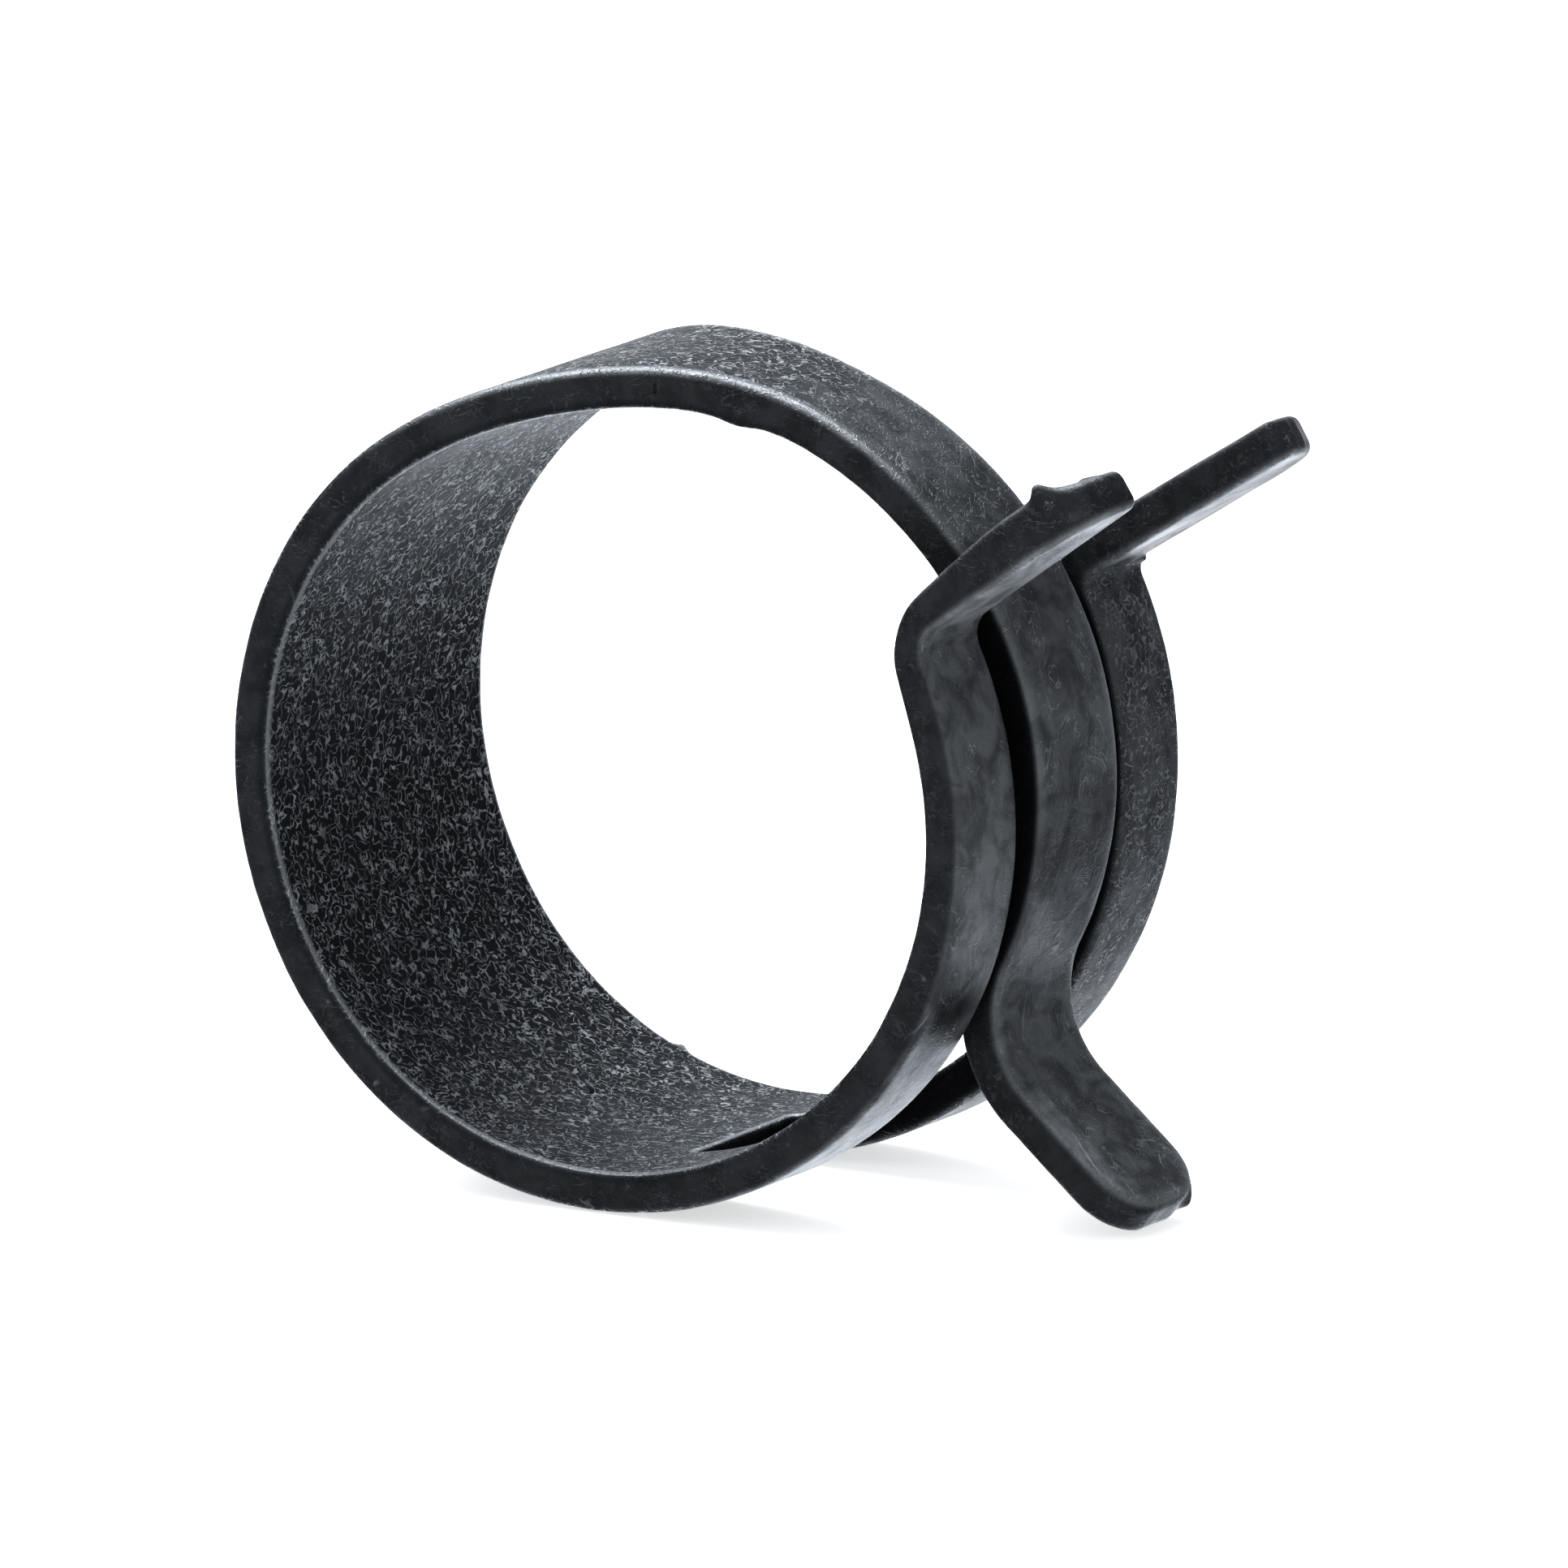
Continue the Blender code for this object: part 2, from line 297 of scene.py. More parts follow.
# An even fine mesh over the whole blank, made at a thousand times the size because the remesher has a
# smallest step.
GRAIN_OF_MESH = 0.10
blank.scale = (BENCH, BENCH, BENCH)
bpy.ops.object.transform_apply(location=False, rotation=False, scale=True)
remesh = blank.modifiers.new("even", "REMESH")
remesh.mode = "VOXEL"
remesh.voxel_size = GRAIN_OF_MESH
bpy.ops.object.modifier_apply(modifier="even")
smooth = blank.modifiers.new("soften", "SMOOTH")
smooth.factor = 0.5
smooth.iterations = 2
bpy.ops.object.modifier_apply(modifier="soften")

# -------------------------------------------------- the surface left by the strip mill and the punch
# Slow waves over the faces, torn and dented sheared edges, a few pits, and burrs at the corners that the
# punch left last. All of it is pressed into the flat blank, in millimetres.
count = len(blank.data.vertices)
flat = np.empty(count * 3)
blank.data.vertices.foreach_get("co", flat)
flat = flat.reshape(-1, 3)
outward = np.empty(count * 3, dtype=np.float32)
blank.data.vertex_normals.foreach_get("vector", outward)
outward = outward.reshape(-1, 3).astype(float)
sheared = 1.0 - np.abs(outward[:, 2])


def ripple(places, size, seed):
    """Smooth noise between about -1 and 1 at these places, with bumps about this many millimetres apart."""
    shifted = places / size + np.array(seed)
    return np.array([noise.noise(Vector(p)) for p in shifted])


FACE_WAVE = 0.012
FACE_DIMPLE = 0.006
EDGE_WAVE = 0.030
EDGE_TEAR = 0.028
push = FACE_WAVE * ripple(flat, 1.7, (3.0, 0.0, 7.0)) + FACE_DIMPLE * ripple(flat, 0.55, (0.0, 5.0, 1.0))
drawn_out = flat * np.array((1.0, 1.0, 0.35))
push += sheared * EDGE_WAVE * ripple(drawn_out, 1.3, (9.0, 2.0, 4.0))
push += sheared * EDGE_TEAR * ripple(drawn_out, 0.35, (1.0, 8.0, 2.0))
pressed = flat + outward * push[:, None]


def ease(values, low, high):
    share = np.clip((values - low) / (high - low), 0.0, 1.0)
    return share * share * (3.0 - 2.0 * share)


# How far each point is from the line that the punch cut.
to_edge = np.full(count, 100.0)
for first, last in cut_line:
    run = last - first
    share = np.clip((flat[:, :2] - first) @ run / (run @ run), 0.0, 1.0)
    nearest = first + share[:, None] * run
    to_edge = np.minimum(to_edge, np.hypot(*(flat[:, :2] - nearest).T))

# Burrs, dents and pits: place on the blank, reach along, across and through it, and the shift, in
# millimetres.
front_end, rear_end, tongue_end = -BENCH * front_tip, -BENCH * rear_tip, BENCH * tongue_tip
rear_heel_start = -BENCH * length_of(REAR_BENDS[:-1])
HALF = BENCH * THICKNESS / 2
MARKS = (
    # spike on the front tab
    ((front_end + 1.15, -5.35, -HALF), (0.26, 0.45, 0.35), (0.05, -0.08, -0.42)),
    # dent beside it
    ((front_end + 0.80, -4.95, 0.0), (0.26, 0.26, 0.28), (0.11, 0.11, 0.0)),
    # burr on the rear tab
    ((rear_end + 0.15, 2.60, -HALF), (0.30, 0.30, 0.30), (-0.05, -0.06, -0.26)),
    # burr at the tongue's tip
    ((tongue_end - 0.20, 1.60, 0.0), (0.24, 0.25, 0.40), (0.34, 0.12, -0.08)),
    # chip in the tongue's tip
    ((tongue_end - 0.15, -1.30, HALF), (0.18, 0.22, 0.20), (-0.08, 0.0, -0.05)),
    # lump in the rear heel
    ((rear_heel_start - 1.15, 6.00, HALF), (0.22, 0.50, 0.30), (0.0, 0.03, 0.11)),
    # torn lip at the shoulder
    ((22.10, -2.50, -HALF), (0.70, 0.45, 0.40), (0.0, -0.03, -0.16)),
    # nick in the rear edge
    ((-14.26, 6.00, -HALF), (0.25, 0.30, 0.25), (0.0, 0.05, -0.16)),
    # pit in the inner face
    ((-14.70, 0.30, -HALF), (0.12, 0.15, 0.20), (0.0, 0.0, 0.12)),
)
for place, reach, shift in MARKS:
    near = np.exp(-(((flat - place) / reach) ** 2).sum(axis=1))
    pressed += near[:, None] * np.array(shift)

# The punch lifted the front tab's inner arris, most of all at the spike.
distance_back, lift = (0.0, 0.5, 1.15, 3.2, 5.6), (0.0, 0.10, 0.34, 0.24, 0.0)
from_tip = pressed[:, 0] - front_end
raised = np.interp(from_tip, distance_back, lift) * (flat[:, 1] < 0.0)
pressed[:, 2] -= raised * ease(-flat[:, 2], -HALF, HALF) * (1.0 - ease(to_edge, 0.3, 1.3))

# The outside of each heel is drawn thinner by the bend.
for bends, side, thinned in ((FRONT_BENDS, -1.0, 0.26), (REAR_BENDS, 1.0, 0.12)):
    middle_of_heel = BENCH * (length_of(bends[:-1]) + length_of(bends[-1:]) / 2)
    near = np.exp(-((flat[:, 0] + middle_of_heel) / 1.3) ** 2) * (side * flat[:, 1] > 0.0)
    pressed[:, 2] += thinned * near * ease(-flat[:, 2], -HALF, HALF)
blank.data.vertices.foreach_set("co", pressed.ravel())

# What the finish follows: the place on the flat blank, the distance from the cut line, where the
# surface is rubbed or burnished with a painted sheen over it, and where shade is painted. The inner face
# and the band's outer face are as they left the bath.
TONGUE_RUB, FRONT_ARM_RUB, REAR_ARM_RUB = 0.8, 0.95, 0.5
WALL_RUB, TAB_RUB = 0.9, 0.9
outer_face = ease(outward[:, 2], 0.2, 0.7)
on_tongue = ease(pressed[:, 0], BENCH * along(math.radians(88.0), UPPER_BENDS),
                 BENCH * along(math.radians(128.0), UPPER_BENDS))
on_arms = ease(-pressed[:, 0], BENCH * crotch, BENCH * (crotch + 0.004))
arm_rub = np.where(pressed[:, 1] < 0.0, FRONT_ARM_RUB, REAR_ARM_RUB)
rubbed = outer_face * np.maximum(on_tongue * TONGUE_RUB, on_arms * arm_rub)
rubbed = np.maximum(rubbed, WALL_RUB * ease(sheared, 0.15, 0.6))
front_tab_root, rear_tab_root = BENCH * length_of(FRONT_BENDS), BENCH * length_of(REAR_BENDS)
on_tabs = np.where(flat[:, 1] < 0.0, ease(-flat[:, 0], front_tab_root - 1.2, front_tab_root + 0.4),
                   ease(-flat[:, 0], rear_tab_root - 0.8, rear_tab_root + 0.8))
rubbed = np.maximum(rubbed, TAB_RUB * on_tabs)


def patch(values, starts, full, fades, gone):
    """1 between full and fades, falling smoothly to 0 at starts and gone."""
    return ease(values, starts, full) * (1.0 - ease(values, fades, gone))


# Burnished, with painted sheen and painted highlights: the outsides of the tabs, where pliers hold them,
# with the table's bright reflection painted on them; the front edge of the tongue's tab, a painted
# highlight; a smudge on the tongue; and faintly the middle of the front arm, a painted highlight.
TONGUE_TAB_HIGHLIGHT, TONGUE_SMUDGE, FRONT_ARM_HIGHLIGHT = 0.70, 0.30, 0.28
x, y = flat[:, 0], flat[:, 1]
on_front = y < 0.0
# On the rear tab the painted sheen is a strip along its near edge that fades across the tab.
burnish_and_painted_sheen = on_tabs * np.where(on_front, 1.0, 0.45 - 0.42 * ease(y, 3.2, 4.3))
tongue_tab_highlight = patch(x, tongue_end - 5.2, tongue_end - 4.4, tongue_end - 1.3, tongue_end - 0.6) * on_front
burnish_and_painted_sheen += TONGUE_TAB_HIGHLIGHT * tongue_tab_highlight * patch(to_edge, 0.15, 0.35, 0.85, 1.15)
burnish_and_painted_sheen += TONGUE_SMUDGE * patch(x, 40.6, 41.5, 42.0, 42.9) * patch(y, -2.2, -1.6, -1.1, -0.3)
burnish_and_painted_sheen += FRONT_ARM_HIGHLIGHT * patch(-x, 33.0, 35.5, 38.0, 40.5) * on_front
burnish_and_painted_sheen *= outer_face

# Painted shade: on the walls in the slot, where the gap between tongue and arms lies in shadow; a
# painted dark reflection in a patch low on the front arm; painted shade over the lower of two stretches
# of the tongue and a fainter darkening over the higher one; and painted shade on the far side of the rear
# tab.
SLOT_SHADE, ARM_DARK_REFLECTION, LOW_TONGUE_SHADE, HIGH_TONGUE_DARKENING, REAR_TAB_SHADE = 0.9, 0.75, 0.4, 0.2, 0.75
ARM_DARK_REFLECTION_AT = 32.6
in_slot = np.maximum(patch(x, 28.0, 32.0, 43.0, 47.0),
                     patch(-x, BENCH * crotch - 1.0, BENCH * crotch, rear_tab_root - 2.0, rear_tab_root)
                     * (np.abs(y) < 3.2))
painted_shade = SLOT_SHADE * in_slot * (1.0 - ease(to_edge, 0.04, 0.16))
from_patch = -x - ARM_DARK_REFLECTION_AT
arm_patch = patch(from_patch, -1.2, -0.2, 0.2, 1.2) * patch(y, -5.8, -4.9, -4.0, -2.8)
painted_shade = np.maximum(painted_shade, ARM_DARK_REFLECTION * outer_face * arm_patch)
painted_shade = np.maximum(painted_shade, LOW_TONGUE_SHADE * outer_face * patch(x, 36.0, 39.5, 42.5, 44.5))
painted_shade = np.maximum(painted_shade, HIGH_TONGUE_DARKENING * outer_face * patch(x, 26.5, 29.5, 33.0, 36.0))
painted_shade = np.maximum(painted_shade, REAR_TAB_SHADE * outer_face * on_tabs * ease(y, 3.4, 4.6))


def keep_on_mesh(name, kind, values):
    attribute = blank.data.attributes.new(name, kind, "POINT")
    field = "vector" if kind == "FLOAT_VECTOR" else "value"
    attribute.data.foreach_set(field, values.ravel().astype(np.float32))


keep_on_mesh("blank", "FLOAT_VECTOR", flat)
keep_on_mesh("to_edge", "FLOAT", to_edge)
keep_on_mesh("rubbed", "FLOAT", rubbed)
keep_on_mesh("burnish_and_painted_sheen", "FLOAT", burnish_and_painted_sheen)
keep_on_mesh("painted_shade", "FLOAT", painted_shade)
bpy.ops.object.shade_smooth()

# -------------------------------------------------- the black finish
# Phosphate and black oxide on spring steel, oiled and dried: fine crystals where the strip was left
# alone, and rubbed smooth where the tools and other clamps touched it. Painted highlights, a painted
# reflection and painted shade are mixed into its colour as well.


def new_group(name, sockets_in, sockets_out):
    group = bpy.data.node_groups.new(name, "ShaderNodeTree")
    for socket, kind, value in sockets_in:
        made = group.interface.new_socket(name=socket, in_out="INPUT", socket_type=kind)
        made.default_value = value
    for socket, kind in sockets_out:
        group.interface.new_socket(name=socket, in_out="OUTPUT", socket_type=kind)
    return group, group.nodes.new("NodeGroupInput").outputs, group.nodes.new("NodeGroupOutput").inputs


def noise_node(tree, place, scale, detail, roughness, distortion=0.0):
    node = tree.nodes.new("ShaderNodeTexNoise")
    tree.links.new(place, node.inputs["Vector"])
    settings = {"Scale": scale, "Detail": detail, "Roughness": roughness, "Distortion": distortion}
    for name, value in settings.items():
        if isinstance(value, (int, float)):
            node.inputs[name].default_value = value
        else:
            tree.links.new(value, node.inputs[name])
    return node.outputs["Fac"]


# Crystals: worm-like ridges from folded noise, about 0.3 mm apart, broken into short strokes, with a
# finer tooth.
crystals, given, put = new_group(
    "phosphate_crystals",
    (("Place", "NodeSocketVector", (0.0, 0.0, 0.0)), ("Per mm", "NodeSocketFloat", 4.0)),
    (("Height", "NodeSocketFloat"), ("Ridges", "NodeSocketFloat")))
folded = noise_node(crystals, given["Place"], given["Per mm"], 1.0, 0.5, 0.8)
centred = math_node(crystals, "ABSOLUTE", math_node(crystals, "SUBTRACT", folded, 0.5), 0.0)
worms = ramp(crystals, centred, 0.010, 0.056, 1.0, 0.0)
gaps = noise_node(crystals, given["Place"], math_node(crystals, "MULTIPLY", given["Per mm"], 0.5), 1.0, 0.5)
ridges = math_node(crystals, "MULTIPLY", worms, ramp(crystals, gaps, 0.34, 0.56, 0.42, 1.0))
tooth_scale = math_node(crystals, "MULTIPLY", given["Per mm"], 3.3)
tooth = noise_node(crystals, given["Place"], tooth_scale, 2.0, 0.6)
height = math_node(crystals, "ADD", math_node(crystals, "MULTIPLY", ridges, 0.8),
                   math_node(crystals, "MULTIPLY", tooth, 0.25))
crystals.links.new(height, put["Height"])
crystals.links.new(ridges, put["Ridges"])

# Hairlines: long thin scratches along the strip, broken up by a slower noise.
hairlines, given, put = new_group(
    "hairline_scratches",
    (("Place", "NodeSocketVector", (0.0, 0.0, 0.0)), ("Turn", "NodeSocketFloat", 0.0)),
    (("Lines", "NodeSocketFloat"),))
turned = hairlines.nodes.new("ShaderNodeVectorRotate")
turned.rotation_type = "Z_AXIS"
hairlines.links.new(given["Place"], turned.inputs["Vector"])
hairlines.links.new(given["Turn"], turned.inputs["Angle"])
stretched = hairlines.nodes.new("ShaderNodeMapping")
stretched.inputs["Scale"].default_value = (0.35, 7.0, 1.0)
hairlines.links.new(turned.outputs[0], stretched.inputs["Vector"])
streaks = noise_node(hairlines, stretched.outputs[0], 1.0, 2.0, 0.5)
broken = noise_node(hairlines, given["Place"], 0.7, 1.0, 0.5)
lines = math_node(hairlines, "MULTIPLY", ramp(hairlines, streaks, 0.66, 0.76),
                  ramp(hairlines, broken, 0.42, 0.62))
hairlines.links.new(lines, put["Lines"])

# Creases: thin curved marks left by handling, scattered in patches.
creases, given, put = new_group(
    "handling_creases", (("Place", "NodeSocketVector", (0.0, 0.0, 0.0)),), (("Lines", "NodeSocketFloat"),))
wandering = noise_node(creases, given["Place"], 0.75, 3.0, 0.55, 1.6)
from_middle = math_node(creases, "ABSOLUTE", math_node(creases, "SUBTRACT", wandering, 0.5), 0.0)
patches = noise_node(creases, given["Place"], 0.62, 1.0, 0.5, 0.4)
marks = math_node(creases, "MULTIPLY", ramp(creases, from_middle, 0.003, 0.016, 1.0, 0.0),
                  ramp(creases, patches, 0.45, 0.60))
creases.links.new(marks, put["Lines"])


def attribute_of(tree, name, output):
    node = tree.nodes.new("ShaderNodeAttribute")
    node.attribute_name = name
    return node.outputs[output]


GRAIN_HEIGHT = 0.000070
CRYSTALS_PER_MM = 3.25
HAIRLINE_TURN = 0.25
DARK_OXIDE = (0.020, 0.021, 0.025, 1.0)
# The pale colour serves both the crystals and the painted highlights and sheen; the near black is the
# colour of the painted shade.
PALE_CRYSTALS_AND_HIGHLIGHT = (0.54, 0.58, 0.62, 1.0)
SHADE_BLACK = (0.003, 0.003, 0.004, 1.0)
black = bpy.data.materials.new("black_phosphate")
black.use_nodes = True
tree = black.node_tree
shader = tree.nodes["Principled BSDF"]
place = attribute_of(tree, "blank", "Vector")
smoothed = attribute_of(tree, "rubbed", "Fac")

grain = tree.nodes.new("ShaderNodeGroup")
grain.node_tree = crystals
grain.inputs["Per mm"].default_value = CRYSTALS_PER_MM
tree.links.new(place, grain.inputs["Place"])
scratched = tree.nodes.new("ShaderNodeGroup")
scratched.node_tree = hairlines
scratched.inputs["Turn"].default_value = HAIRLINE_TURN
tree.links.new(place, scratched.inputs["Place"])
handled = tree.nodes.new("ShaderNodeGroup")
handled.node_tree = creases
tree.links.new(place, handled.inputs["Place"])
crease = math_node(tree, "MULTIPLY", handled.outputs["Lines"], ramp(tree, smoothed, 0.3, 0.8, 0.0, 1.0))

untouched = ramp(tree, smoothed, 0.0, 1.0, 1.0, 0.12)
grain_left = math_node(tree, "MULTIPLY", grain.outputs["Height"], untouched)
scratch = math_node(tree, "MULTIPLY", scratched.outputs["Lines"], ramp(tree, smoothed, 0.2, 0.8, 0.05, 0.5))
bump = tree.nodes.new("ShaderNodeBump")
bump.inputs["Distance"].default_value = GRAIN_HEIGHT
bump.inputs["Strength"].default_value = 1.0
grain_left = math_node(tree, "ADD", grain_left, math_node(tree, "MULTIPLY", crease, 0.6))
tree.links.new(math_node(tree, "SUBTRACT", grain_left, scratch), bump.inputs["Height"])
tree.links.new(bump.outputs["Normal"], shader.inputs["Normal"])

# Along the ring's inner arris a bright line is painted, partly worn finish and partly painted highlight,
# and along the tongue's outer one a painted highlight. The sheared walls are darker, their own smooth
# finish with painted shade over it, and darkest beside the line, a painted dark reflection.
apart = tree.nodes.new("ShaderNodeSeparateXYZ")
tree.links.new(place, apart.inputs["Vector"])
through, lengthwise = apart.outputs["Z"], apart.outputs["X"]
edge_distance = attribute_of(tree, "to_edge", "Fac")
on_inside = math_node(tree, "MULTIPLY", ramp(tree, through, -0.30, 0.0, 1.0, 0.0),
                      ramp(tree, math_node(tree, "ABSOLUTE", lengthwise, 0.0), 22.0, 28.0, 1.0, 0.0))
on_outside = math_node(tree, "MULTIPLY", ramp(tree, lengthwise, 8.0, 18.0, 0.0, 0.75),
                       ramp(tree, lengthwise, 23.5, 29.0, 1.0, 0.4))
on_outside = math_node(tree, "MULTIPLY", on_outside, ramp(tree, through, 0.0, 0.30))
inner_arris = math_node(tree, "SUBTRACT", math_node(tree, "SUBTRACT", edge_distance, through), HALF)
outer_arris = math_node(tree, "SUBTRACT", math_node(tree, "ADD", edge_distance, through), HALF)


def line_along(arris, start, full, fades, gone):
    fading = ramp(tree, arris, fades, gone, 1.0, 0.0)
    return math_node(tree, "MULTIPLY", ramp(tree, arris, start, full), fading)


worn_inner_line_and_highlight = math_node(tree, "MULTIPLY", line_along(inner_arris, -0.02, 0.10, 0.12, 0.36), on_inside)
painted_outer_highlight = math_node(tree, "MULTIPLY", line_along(outer_arris, -0.25, 0.10, 0.12, 0.62), on_outside)
worn_and_highlight = math_node(tree, "ADD", worn_inner_line_and_highlight, painted_outer_highlight)
# Painted dark reflection in a band just beside the inner line.
painted_dark_reflection = math_node(tree, "MULTIPLY", line_along(inner_arris, -0.40, -0.15, -0.10, 0.02), on_inside)
painted_dark_reflection = math_node(tree, "MULTIPLY", painted_dark_reflection, 0.6)
# Near the cut line the rubbed tone fades to a quarter: painted shade on the sheared walls, over their own
# smoother finish.
wall = ramp(tree, edge_distance, 0.02, 0.12, 0.25, 1.0)

cloud = noise_node(tree, place, 0.55, 3.0, 0.6)
blotch = noise_node(tree, place, 0.85, 3.0, 0.6, 0.5)
light = math_node(tree, "MULTIPLY", grain.outputs["Ridges"], untouched)
light = math_node(tree, "MULTIPLY", light, ramp(tree, cloud, 0.3, 0.75, 0.6, 1.0))
rub_patches = ramp(tree, blotch, 0.32, 0.68, 0.45, 1.35)
rub = math_node(tree, "MULTIPLY", ramp(tree, smoothed, 0.0, 1.0, 0.0, 0.26), rub_patches)
rub = math_node(tree, "MULTIPLY", rub, wall)
light = math_node(tree, "MAXIMUM", light, rub)
light = math_node(tree, "ADD", light, math_node(tree, "MULTIPLY", scratch, 0.6))
# Burnishing with painted sheen and painted highlights, in patches.
bright_patches = ramp(tree, blotch, 0.3, 0.7, 0.25, 0.50)
burnish_and_sheen_light = math_node(tree, "MULTIPLY", attribute_of(tree, "burnish_and_painted_sheen", "Fac"), bright_patches)
crease_light = math_node(tree, "MULTIPLY", math_node(tree, "MULTIPLY", crease, wall), 0.26)
light = math_node(tree, "ADD", light, crease_light)
# The worn inner line and the painted arris highlights.
worn_and_highlight_light = math_node(tree, "MULTIPLY", worn_and_highlight, 0.7)
light = math_node(tree, "ADD", light, math_node(tree, "ADD", burnish_and_sheen_light, worn_and_highlight_light))
light = math_node(tree, "MULTIPLY", light, math_node(tree, "SUBTRACT", 1.0, painted_dark_reflection), clamp=True)
colour = tree.nodes.new("ShaderNodeMix")
colour.data_type = "RGBA"
colour.inputs["A"].default_value = DARK_OXIDE
colour.inputs["B"].default_value = PALE_CRYSTALS_AND_HIGHLIGHT
tree.links.new(light, colour.inputs["Factor"])
# Painted shade pulls the colour towards near black.
shaded_colour = tree.nodes.new("ShaderNodeMix")
shaded_colour.data_type = "RGBA"
shaded_colour.inputs["B"].default_value = SHADE_BLACK
tree.links.new(attribute_of(tree, "painted_shade", "Fac"), shaded_colour.inputs["Factor"])
tree.links.new(colour.outputs["Result"], shaded_colour.inputs["A"])
tree.links.new(shaded_colour.outputs["Result"], shader.inputs["Base Color"])
shader.inputs["Metallic"].default_value = 0.8
shader.inputs["Specular Tint"].default_value = (0.55, 0.57, 0.60, 1.0)
shader.inputs["Specular IOR Level"].default_value = 0.3

patchy = math_node(tree, "ADD", ramp(tree, cloud, 0.3, 0.7, -0.05, 0.05),
                   ramp(tree, smoothed, 0.0, 1.0, 0.52, 0.42))
patchy = math_node(tree, "SUBTRACT", patchy, math_node(tree, "MULTIPLY", worn_and_highlight, 0.15))
tree.links.new(math_node(tree, "SUBTRACT", patchy, math_node(tree, "MULTIPLY", scratch, 0.12)),
               shader.inputs["Roughness"])

# -------------------------------------------------- rolling the blank, and the pieces it is cut into
# The real strip is one piece. Here it is cut at the middle of each body, so that every piece crosses one
# joint. Each is rolled round the mandrel with the bends of its own end of the strip.
# The clamp leans forward by this many degrees, so that the ring and the tongue's tip both touch the table.
LEAN = 1.43


class Roll:
    """The strip's middle line in the finished clamp: arcs that follow one another, then a straight tab."""

    def __init__(self, bends, hand, start=(0.0, 0.0)):
        self.bends = bends
        # 1 where the ring turns left seen from the front, -1 where it turns right.
        self.hand = hand
        # Distance from the back, place, heading and reach to the centre of the bend.
        self.stretches = []
        x, z = start
        heading, gone = math.radians(-90.0 * hand - LEAN), 0.0
        for radius, angle in bends:
            turn = hand * math.radians(angle)
            reach = math.copysign(radius, turn)
            self.stretches.append((gone, x, z, heading, reach))
            centre_x, centre_z = x - reach * math.sin(heading), z + reach * math.cos(heading)
            gone += radius * abs(turn)
            heading += turn
            x, z = centre_x + reach * math.sin(heading), centre_z - reach * math.cos(heading)
        self.stretches.append((gone, x, z, heading, None))

    def place(self, flat_places):
        """Where these places on the flat blank, in metres, end up."""
        distance = -self.hand * flat_places[:, 0]
        left = -self.hand * flat_places[:, 2]
        rolled_x, rolled_z = np.zeros(len(distance)), np.zeros(len(distance))
        for gone, x, z, heading, reach in self.stretches:
            here = distance >= gone if gone > 0.0 else np.full(len(distance), True)
            past = distance[here] - gone
            if reach is None:
                now = heading
                middle_x, middle_z = x + past * math.cos(heading), z + past * math.sin(heading)
            else:
                now = heading + past / reach
                middle_x = x + reach * (np.sin(now) - math.sin(heading))
                middle_z = z - reach * (np.cos(now) - math.cos(heading))
            rolled_x[here] = middle_x - left[here] * np.sin(now)
            rolled_z[here] = middle_z + left[here] * np.cos(now)
        return np.column_stack((rolled_x, flat_places[:, 1], rolled_z))

    def middle_at(self, degrees):
        """The point at half thickness where this angle has been rolled."""
        distance = along(math.radians(degrees), self.bends)
        return self.place(np.array([[-self.hand * distance, 0.0, 0.0]]))[0]

    def degrees_at(self, distance):
        """The angles that have been rolled at these distances along the strip."""
        ends, turned = [0.0], [0.0]
        for radius, angle in self.bends:
            ends.append(ends[-1] + radius * math.radians(abs(angle)))
            turned.append(turned[-1] + abs(angle))
        return np.interp(distance, ends, turned)


# The first joint above the back gives the place of the middle of the back.
joint_places = {joint["name"]: np.array(joint["pos_m"]) for joint in frame["joints"]}
back_of_ring = joint_places["flex_back_upper"] - Roll(UPPER_BENDS, -1).middle_at(15.0)
START = (back_of_ring[0], back_of_ring[2])
upper_roll = Roll(UPPER_BENDS, -1, START)
front_roll = Roll(FRONT_BENDS, 1, START)
rear_roll = Roll(REAR_BENDS, 1, START)

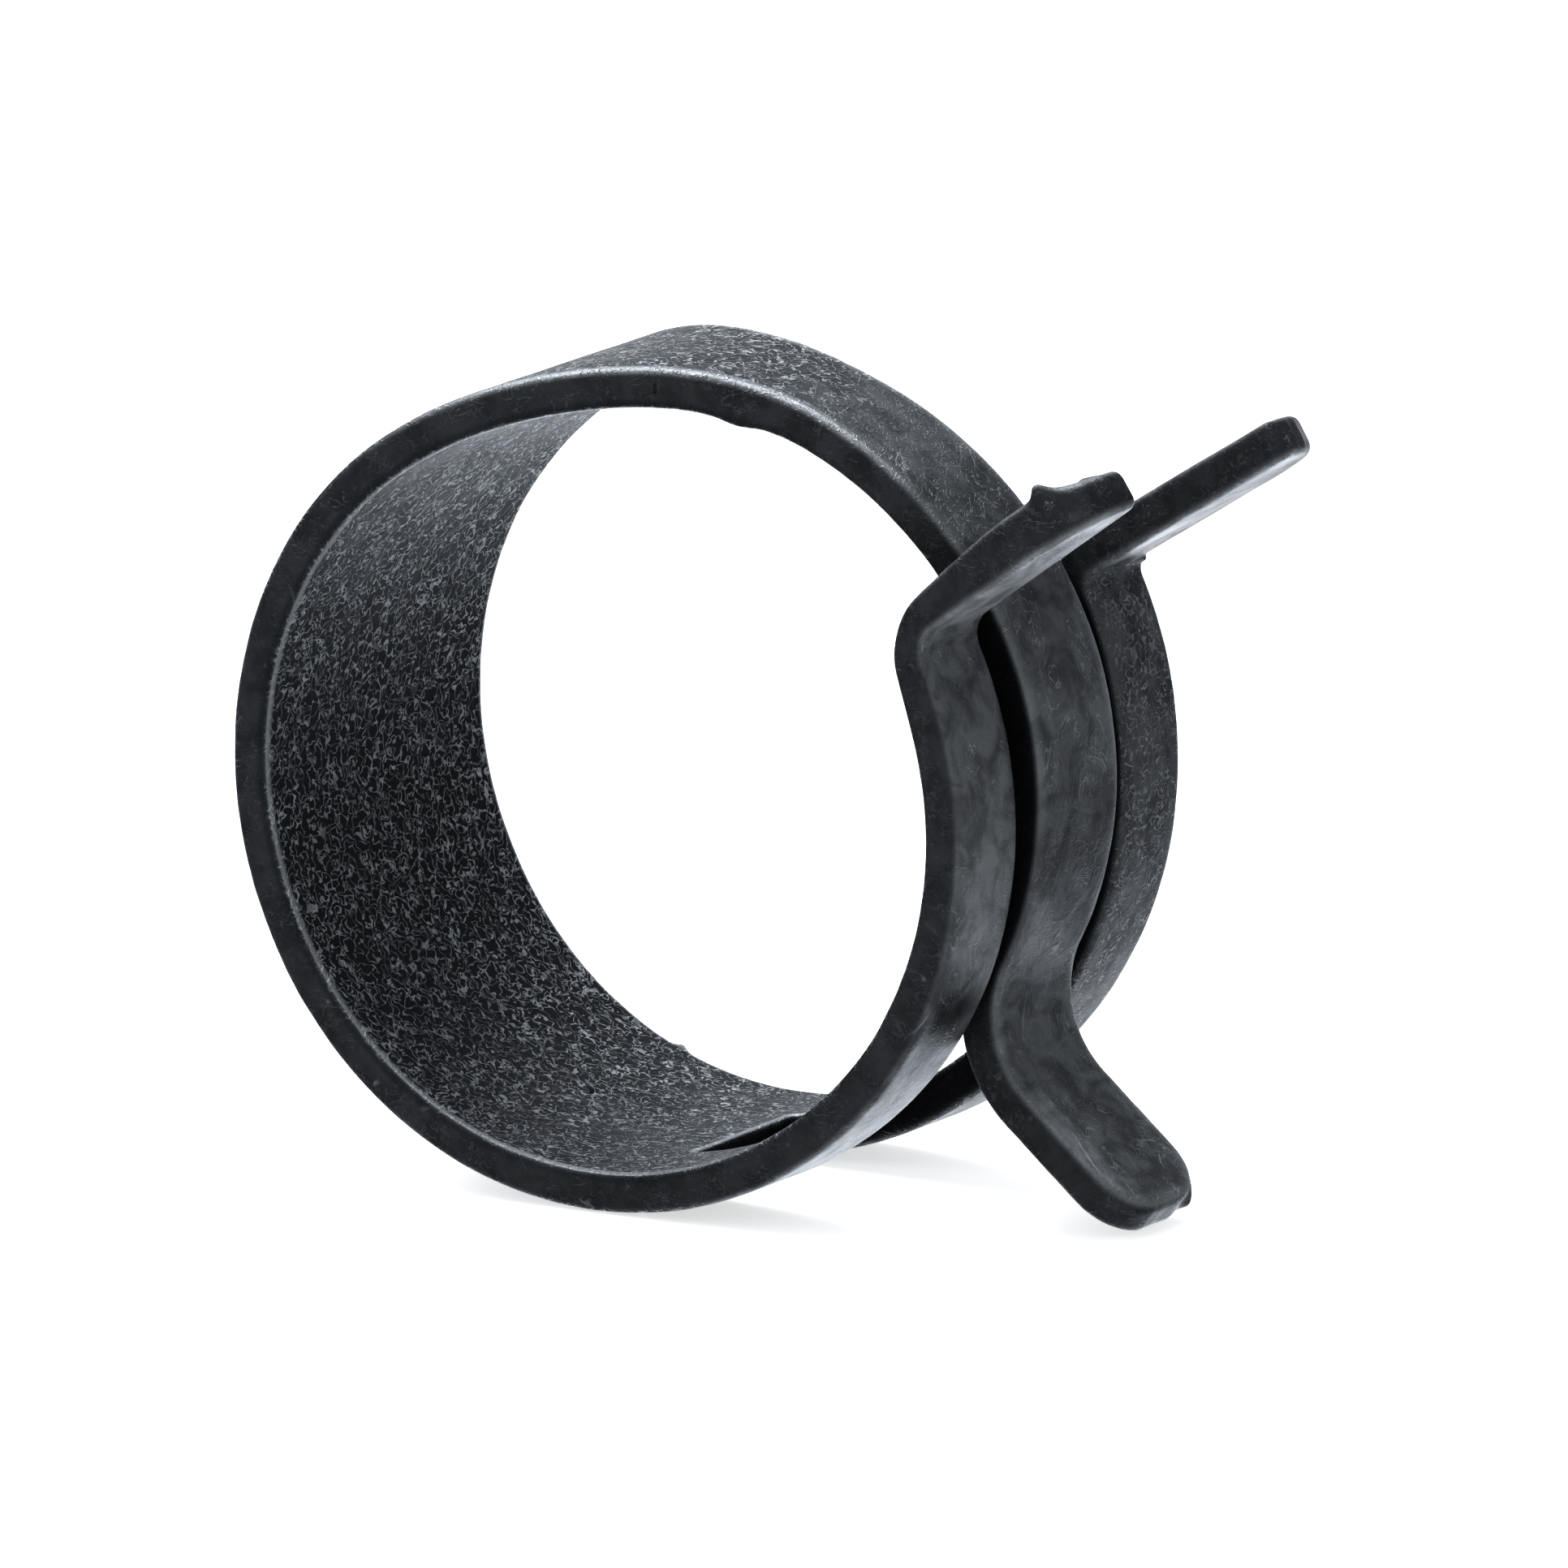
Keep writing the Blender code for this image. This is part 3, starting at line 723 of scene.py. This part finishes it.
# Name, side of the strip, degrees rolled at its two ends, the two bodies, and the nodes that it stands for.
TIP = 1000.0
PIECES = (
    ("back_above_middle", "upper", 0.0, 30.0, "back", "back_upper", ("band_back", "band_back_upper")),
    ("back_to_top", "upper", 30.0, 60.0, "back_upper", "upper", ("band_back_upper", "band_upper")),
    ("top_of_ring", "upper", 60.0, 90.0, "upper", "top", ("band_upper", "band_top")),
    ("narrowing_shoulder", "upper", 90.0, 120.0, "top", "shoulder", ("band_top", "tongue_shoulder")),
    ("start_of_tongue", "upper", 120.0, 150.0, "shoulder", "tongue_root",
     ("tongue_shoulder", "tongue_upper")),
    ("tongue_with_tab", "upper", 150.0, TIP, "tongue_root", "tongue_end",
     ("tongue_upper", "tongue_middle", "tongue_lower", "tongue_heel", "tongue_tab")),
    ("back_below_middle", "lower", 0.0, 30.0, "back", "back_lower", ("band_back", "band_back_lower")),
    ("back_to_bottom", "lower", 30.0, 60.0, "back_lower", "lower", ("band_back_lower", "band_lower")),
    ("bottom_of_ring", "lower", 60.0, 87.0, "lower", "bottom", ("band_lower", "fork_crotch")),
    ("root_of_fork", "lower", 87.0, 114.0, "bottom", "arm_roots",
     ("fork_crotch", "front_arm_root", "rear_arm_root")),
    ("front_arm_of_fork", "front", 114.0, 144.0, "arm_roots", "arms",
     ("front_arm_root", "front_arm_lower")),
    ("front_arm_with_tab", "front", 144.0, TIP, "arms", "fork_end",
     ("front_arm_lower", "front_arm_middle", "front_arm_upper", "front_heel", "front_tab")),
    ("rear_arm_of_fork", "rear", 114.0, 144.0, "arm_roots", "arms", ("rear_arm_root", "rear_arm_lower")),
    ("rear_arm_with_tab", "rear", 144.0, TIP, "arms", "fork_end",
     ("rear_arm_lower", "rear_arm_middle", "rear_arm_upper", "rear_heel", "rear_tab")),
)
ROLLS = {"upper": upper_roll, "lower": front_roll, "front": front_roll, "rear": rear_roll}
BEND_LENGTH = 30.0          # degrees past a piece's first end at which the middle of its roll is looked up

# The cuts, by the middle of each face of the blank.
blank.scale = (1.0 / BENCH, 1.0 / BENCH, 1.0 / BENCH)
bpy.ops.object.transform_apply(location=False, rotation=False, scale=True)
middles = np.empty(len(blank.data.polygons) * 3)
blank.data.polygons.foreach_get("center", middles)
middles = middles.reshape(-1, 3)
above, in_front = middles[:, 0] >= 0.0, middles[:, 1] < 0.0
below_front, below_rear = ~above & in_front, ~above & ~in_front
turned_below = np.where(in_front, front_roll.degrees_at(-middles[:, 0]),
                        rear_roll.degrees_at(-middles[:, 0]))
turned = np.where(above, upper_roll.degrees_at(middles[:, 0]), turned_below)
SIDES = {"upper": above, "lower": ~above, "front": below_front, "rear": below_rear}
belongs = np.zeros(len(middles), dtype=np.int32)
for number, (name, side, first, last, *_) in enumerate(PIECES):
    belongs[SIDES[side] & (turned >= first) & (turned < last)] = number
    blank.data.materials.append(bpy.data.materials.new(name))
blank.data.polygons.foreach_set("material_index", belongs)
bpy.ops.object.mode_set(mode="EDIT")
bpy.ops.mesh.select_all(action="SELECT")
bpy.ops.mesh.separate(type="MATERIAL")
bpy.ops.object.mode_set(mode="OBJECT")

cut_pieces = {piece.data.materials[0].name: piece for piece in bpy.context.selected_objects}
for name, side, first, last, body, next_body, nodes in PIECES:
    piece = cut_pieces[name]
    piece.name = name
    piece.data.materials.clear()
    piece.data.materials.append(black)
    bpy.ops.object.select_all(action="DESELECT")
    piece.select_set(True)
    bpy.context.view_layer.objects.active = piece
    bpy.ops.object.mode_set(mode="EDIT")
    bpy.ops.mesh.select_mode(type="EDGE")
    bpy.ops.mesh.select_all(action="DESELECT")
    bpy.ops.mesh.select_non_manifold(extend=False, use_multi_face=False, use_non_contiguous=False,
                                     use_verts=False)
    bpy.ops.mesh.mark_sharp()
    bpy.ops.mesh.fill_holes(sides=0)
    bpy.ops.object.mode_set(mode="OBJECT")

    flat = np.empty(len(piece.data.vertices) * 3)
    piece.data.vertices.foreach_get("co", flat)
    flat = flat.reshape(-1, 3)
    roll = ROLLS[side]
    rolled_places = roll.place(flat)
    if side == "lower":
        rolled_places = np.where(flat[:, 1:2] < 0.0, rolled_places, rear_roll.place(flat))
    piece.data.vertices.foreach_set("co", rolled_places.ravel())
    piece.data.update()
    roll.middle_at(first)
    roll.middle_at(min(last, first + BEND_LENGTH))
    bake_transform(piece)
    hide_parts(*nodes)
